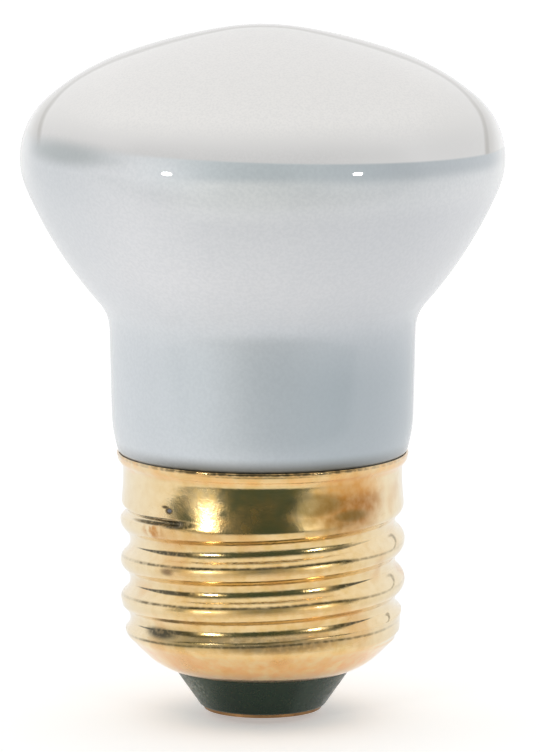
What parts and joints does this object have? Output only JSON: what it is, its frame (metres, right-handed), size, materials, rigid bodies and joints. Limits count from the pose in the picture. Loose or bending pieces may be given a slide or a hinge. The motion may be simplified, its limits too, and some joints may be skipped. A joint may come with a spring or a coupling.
{
  "type": "reflector bulb",
  "caption": "Small reflector bulb with a frosted dome, a bright inner reflector below it and a rolled brass screw base.",
  "frame": {"origin": "lowest point of the centre contact's solder, on the bulb's axis", "axes": "+Z along the bulb's axis from the contact to the glass crown; +X to the right in the picture's view, which looks along +Y"},
  "size_m": [0.0444, 0.0444, 0.064],
  "materials": {
    "frosted_glass": "blown glass, etched inside on the dome, with a vapour-deposited mirror below it",
    "rolled_brass": "thin rolled sheet, bright with light tarnish",
    "black_glass": "opaque moulded glass, glossy",
    "eyelet_brass": "pressed sheet",
    "solder": "soft solder, dull grey",
    "cement": "matte basing cement",
    "lead_wire": "nickel plated copper-clad wire"
  },
  "bodies": {
    "root": {"glass_bulb": "frosted_glass", "screw_shell": "rolled_brass", "base_insulator": "black_glass", "centre_contact": "eyelet_brass", "centre_solder": "solder", "base_cement": "cement", "centre_lead_wire": "lead_wire", "side_lead_wire": "lead_wire"}
  },
  "joints": []
}
